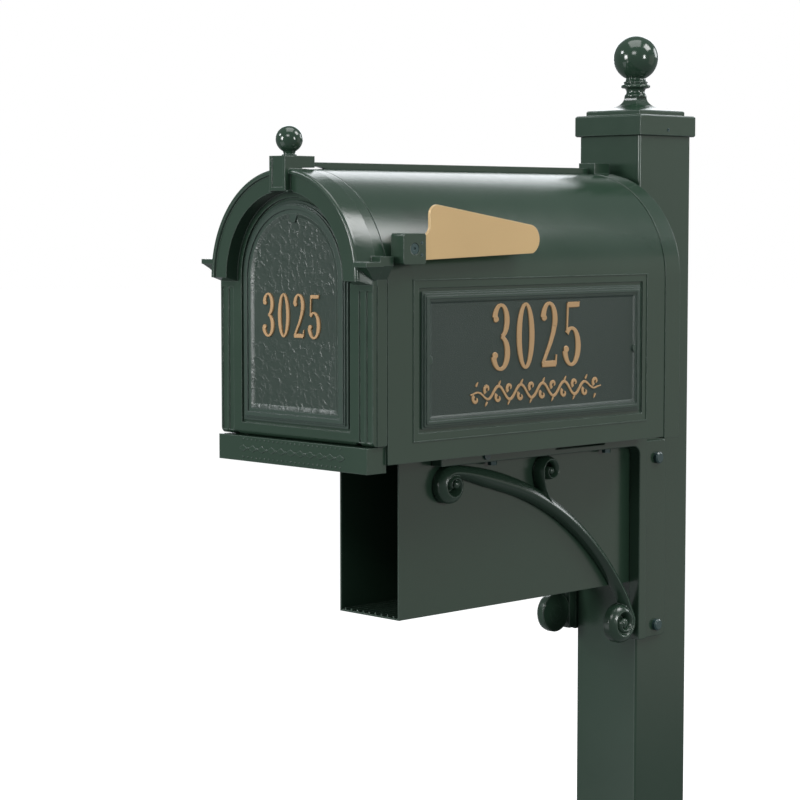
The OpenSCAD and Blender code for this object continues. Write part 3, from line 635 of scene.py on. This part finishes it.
def vine(u, up, out, at, rise, length, height):
    """a running vine that fills the line below the figures"""
    bm = bmesh.new()
    waves = 6
    n = waves * 16
    stem = []
    for i in range(n + 1):
        t = i / n
        fade = min(1, 6 * t, 6 * (1 - t))
        stem.append(((t - 0.5) * length, 0.30 * height * fade * sin(2 * pi * waves * t), 0.8 + 1.0 * fade))
    swept(bm, laid(stem, u, up, out, at, rise), RELIEF)
    for k in range(2 * waves):
        t = (k + 0.5) / (2 * waves)
        way = 1 if k % 2 == 0 else -1
        c = (t - 0.5) * length
        # each wave holds a curled leaf and a bud
        leaf = []
        for j in range(19):
            q = j / 18
            reach = 0.8 + 4.6 * (1 - q)
            turn = way * (2.2 + 5.2 * q)
            leaf.append((c + reach * cos(turn), -way * 0.20 * height + reach * sin(turn), 2.5 - 1.3 * q))
        swept(bm, laid(leaf, u, up, out, at, rise * 0.97), RELIEF)
        bud = []
        for j in range(9):
            q = j / 8
            half = max(0.3, 3.0 * (1 - q) * (0.35 + q))
            bud.append((c + 3.5 * q * way, way * (0.34 * height + 5.2 * q), half))
        swept(bm, laid(bud, u, up, out, at, rise * 0.95), RELIEF)
    bmesh.ops.recalc_face_normals(bm, faces=bm.faces)
    return bm


NUMBER = "3025"
X, Y, Z = Vector((1, 0, 0)), Vector((0, 1, 0)), Vector((0, 0, 1))
for side, out, u in (("right", X, Y), ("left", -X, -Y)):
    face = FIELD_X * out.x
    number_at = Vector((face, side_mid_y + 0.0015, FLOOR + 0.1350))
    bm = figures(NUMBER, u, Z, out, number_at, 0.0016, 77, 41.0, 1.06)
    piece(f"side_number_{side}", bm, gold_face, "stand", 25)
    vine_at = Vector((face, side_mid_y + 0.0015, FLOOR + 0.0705))
    bm = vine(u, Z, out, vine_at, 0.0013, 226, 27)
    piece(f"side_vine_{side}", bm, gold_face, "stand", 25)
door_number_at = Vector((-0.004, FIELD_Y, FLOOR + 0.1615))
bm = figures(NUMBER, X, Z, -Y, door_number_at, 0.0022, 50, 26.0, 1.06)
piece("door_number", bm, gold_face, "door_leaf", 25)


def panel(line, u, up, out, at, slope_w, slope_d, material, name, body):
    """the ground inside a border: a flat panel with a sloping edge all round it"""
    bm = bmesh.new()
    f = bm.faces.new([bm.verts.new(at + u * (a * F_MM) + up * (b * F_MM)) for a, b in line])
    bmesh.ops.recalc_face_normals(bm, faces=bm.faces)
    if f.normal.dot(out) < 0:
        f.normal_flip()
    made = bmesh.ops.extrude_face_region(bm, geom=[f])["geom"]
    raised = [g for g in made if isinstance(g, bmesh.types.BMVert)]
    bmesh.ops.translate(bm, verts=raised, vec=out * (slope_d + 0.0004))
    # the face that looks outwards and stands furthest out
    top = max(bm.faces, key=lambda g: g.normal.dot(out) * 10 + g.calc_center_median().dot(out))
    bmesh.ops.inset_region(bm, faces=[top], thickness=slope_w, depth=-slope_d, use_even_offset=True)
    bmesh.ops.recalc_face_normals(bm, faces=bm.faces)
    return piece(name, bm, material, body, 15)


# the stepped borders' widths, in millimetres
SIDE_BORDER, DOOR_BORDER = 11.0, 14.5
side_w, side_h = (side_hi.y - side_lo.y) * 1000, (side_hi.z - side_lo.z) * 1000
for side, out, u in (("right", X, Y), ("left", -X, -Y)):
    a, b = side_w / 2 - SIDE_BORDER, side_h / 2 - SIDE_BORDER
    at = Vector((FIELD_X * out.x, side_mid_y, side_mid_z)) - out * 0.0002
    corners = [(-a, -b), (a, -b), (a, b), (-a, b)]
    panel(corners, u, Z, out, at, 0.0030, 0.0014, pebble_coat, f"side_ground_{side}", "stand")
plaque_half = (door_hi.x - door_lo.x) * 500
arch_mid = door_hi.z - plaque_half / 1000
field_half = plaque_half - DOOR_BORDER
field_foot = (door_lo.z - FLOOR) * 1000 + DOOR_BORDER
line = [(-field_half, field_foot), (field_half, field_foot)]
line += arc(0, (arch_mid - FLOOR) * 1000, field_half, 0, 180, 36)
panel(line, X, Z, -Y, Vector((0, FIELD_Y, FLOOR)), 0.0048, 0.0017, hammer_coat, "door_ground", "door_leaf")

# a fine raised line frames each recess on the body's wall
body_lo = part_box("mailbox_body")[0]
# the body's wall stands 2 mm proud of the floor that the plaques lie on
WALL_X = side_lo.x + 0.002
LINE_OUT, LINE_W, LINE_H = 0.0120, 0.0020, 0.0009
for side, out, u in (("right", X, Y), ("left", -X, -Y)):
    bm = bmesh.new()
    wall_x = out.x * WALL_X
    rings = []
    for grow, lift in ((0, -0.0003), (0.15, LINE_H), (0.85, LINE_H), (1, -0.0003)):
        a = side_w / 2000 + LINE_OUT + grow * LINE_W
        b = side_h / 2000 + LINE_OUT + grow * LINE_W
        at = Vector((wall_x, side_mid_y, side_mid_z))
        corners = ((-a, -b), (a, -b), (a, b), (-a, b))
        rings.append([bm.verts.new(at + u * p + Z * q + out * lift) for p, q in corners])
    rings.append(rings[0])
    for low, high in zip(rings, rings[1:]):
        for i in range(4):
            bm.faces.new((low[i - 1], low[i], high[i], high[i - 1]))
    bmesh.ops.recalc_face_normals(bm, faces=bm.faces)
    piece(f"side_line_{side}", bm, green_coat, "stand", 20)

# ------------------------------------------------------------ the sill's ornament
# A low band of lozenges and beads cast on the front of the sill, under the
# same coat as the rest.

SILL_Y, SILL_MID = body_lo.y, FLOOR + 0.0062
bm = bmesh.new()
LOZENGE_PITCH = 0.0165
for i in range(-5, 6):
    middle_at = Vector((i * LOZENGE_PITCH, SILL_Y, SILL_MID))
    lozenge = [(-7.0, 0, 0.5), (-3.5, 0, 2.4), (0, 0, 4.3), (3.5, 0, 2.4), (7.0, 0, 0.5)]
    swept(bm, laid(lozenge, X, Z, -Y, middle_at, 0.0007), RELIEF)
    if i < 5:
        swept(bm, laid(bead(0, 0, 1.5), X, Z, -Y, middle_at + X * (LOZENGE_PITCH / 2), 0.0009), RELIEF)
BEADS, BEAD_PITCH = 23, 0.0075
for dz in (-0.0105, 0.0105):
    for i in range(BEADS):
        at = Vector(((i - (BEADS - 1) / 2) * BEAD_PITCH, SILL_Y, SILL_MID + dz))
        swept(bm, laid(bead(0, 0, 1.2), X, Z, -Y, at, 0.0006), RELIEF)
bmesh.ops.recalc_face_normals(bm, faces=bm.faces)
piece("sill_ornament", bm, green_coat, "stand", 25)

# ------------------------------------------------------------------ the flag
# A die-cast hub turns on a shoulder bolt. The blade is a flat pressed plate
# in bronze gold, riveted into the hub's slot.

# the paler edge colour paints a highlight along the flag's edges
flag_gold = coated("flag bronze gold", (0.46, 0.315, 0.150), (0.75, 0.60, 0.40), 0.40,
                   800.0, 0.000015, 0.0010, 0.6, 0.2)
hub_bm = rounded(merged("flag_hub"), 0.0008, 2, 60)
hub = piece("flag_pivot_block", hub_bm, green_coat, "flag", 30)
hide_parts("flag_hub")
blade_bm = rounded(merged("flag_blade"), 0.0008, 2, 60)
blade = piece("flag_plate", blade_bm, flag_gold, "flag", 30)
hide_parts("flag_blade")

# ------------------------------------------------------------- the fasteners
# Coated bolts and screws, and plain stainless ones where they don't show. Their
# CAD shapes are used as they are, each in the finish of its material slot.

# the lighter edge colour paints a highlight along the fasteners' edges
dark_paint = coated("coated fasteners", (0.018, 0.042, 0.042), (0.11, 0.16, 0.16), 0.26,
                    edge_amount=0.8, edge_radius=0.0006)
steel = coated("stainless steel", (0.50, 0.50, 0.49), (0.62, 0.62, 0.60), 0.32,
               1400.0, 0.00001, 0.0004, 0.4, 1.0)
finishes = {
    "dark_screws": dark_paint,
    "steel": steel,
    "gold_coat": flag_gold,
    "dark_field": plaque_coat,
}
slots = {p["node"]: p["material_slot"] for p in frame["record"]["subparts"]}
for node, o in frame["nodes"].items():
    if not o.hide_render:
        finish = finishes.get(slots[node], green_coat)
        o.data.materials.clear()
        o.data.materials.append(finish)

# --------------------------------------------------------- floor, light, camera
# A plain pale floor in a white studio, large soft boxes and a longish lens. The
# floor glows a little and stays out of reflections, so it reads as even white.

bm = bmesh.new()
bmesh.ops.create_circle(bm, cap_ends=True, radius=40, segments=96)
floor_mesh = bpy.data.meshes.new("floor")
bm.to_mesh(floor_mesh)
bm.free()
floor = bpy.data.objects.new("floor", floor_mesh)
bpy.context.scene.collection.objects.link(floor)
floor.location.z = -0.0005
pale = bpy.data.materials.new("pale floor")
pale.use_nodes = True
ps = pale.node_tree.nodes["Principled BSDF"]
ps.inputs["Base Color"].default_value = (0.30, 0.30, 0.30, 1)
ps.inputs["Roughness"].default_value = 0.9
ps.inputs["Specular IOR Level"].default_value = 0.0
ps.inputs["Emission Color"].default_value = (1, 1, 1, 1)
ps.inputs["Emission Strength"].default_value = 0.93
floor_mesh.materials.append(pale)
floor.visible_glossy = False
floor.visible_diffuse = False

bpy.context.scene.view_settings.view_transform = "Standard"
world = bpy.data.worlds.new("studio")
bpy.context.scene.world = world
world.use_nodes = True
wn, wl = world.node_tree.nodes, world.node_tree.links.new
sky = wn["Background"]
sky.inputs["Color"].default_value = (0.92, 0.97, 1.0, 1)
sky.inputs["Strength"].default_value = 0.30
seen = wn.new("ShaderNodeBackground")
seen.inputs["Color"].default_value = (1, 1, 1, 1)
seen.inputs["Strength"].default_value = 1.0
pick = wn.new("ShaderNodeMixShader")
wl(wn.new("ShaderNodeLightPath").outputs["Is Camera Ray"], pick.inputs[0])
wl(sky.outputs[0], pick.inputs[1])
wl(seen.outputs[0], pick.inputs[2])
wl(pick.outputs[0], wn["World Output"].inputs["Surface"])


def softbox(name, at, width, height, watts, tint=(1, 1, 1)):
    """a rectangular light that faces the middle of the mailbox"""
    light = bpy.data.lights.new(name, "AREA")
    light.shape = "RECTANGLE"
    light.size = width
    light.size_y = height
    light.energy = watts
    light.color = tint
    o = bpy.data.objects.new(name, light)
    bpy.context.scene.collection.objects.link(o)
    o.location = at
    o.rotation_euler = (middle - Vector(at)).to_track_quat("-Z", "Y").to_euler()


middle = Vector((0, -0.3, 1.2))
softbox("front box", (-0.75, -3.7, 1.75), 0.9, 1.1, 80)
softbox("upper left box", (-2.4, -2.9, 3.1), 0.9, 0.7, 42, (0.96, 0.97, 1.0))
softbox("fill box", (1.7, -2.9, 3.0), 1.2, 0.9, 28)
softbox("right box", (3.6, -0.35, 1.75), 0.6, 0.9, 48, (0.97, 1.0, 0.98))
softbox("strap box", (1.5, 0.9, 3.2), 1.2, 1.0, 42)
softbox("top box", (0.2, -0.5, 3.9), 2.0, 2.0, 45)
softbox("back window", (-2.9, 2.9, 2.85), 3.0, 2.8, 68, (0.94, 0.97, 1.0))
softbox("rear window", (0.9, 4.2, 2.6), 1.6, 1.5, 40, (0.96, 0.98, 1.0))
softbox("warm card", (2.9, 2.5, 1.1), 2.4, 2.4, 8, (1.0, 0.90, 0.84))
softbox("floor card", (-0.9, -2.6, 0.03), 1.8, 1.2, 7, (0.96, 0.97, 1.0))

cam_data = bpy.data.cameras.new("camera")
cam_data.lens = 103.73
cam_data.sensor_width = 36
camera = bpy.data.objects.new("camera", cam_data)
bpy.context.scene.collection.objects.link(camera)
bpy.context.scene.camera = camera
camera.location = (1.9501, -2.3217, FLOOR + 0.2733)
yaw, pitch = radians(45.82), radians(4.552)
look = Vector((-sin(yaw) * cos(pitch), cos(yaw) * cos(pitch), -sin(pitch)))
camera.rotation_euler = look.to_track_quat("-Z", "Y").to_euler()
cam_data.clip_start = 0.05
cam_data.clip_end = 100

bpy.context.view_layer.update()
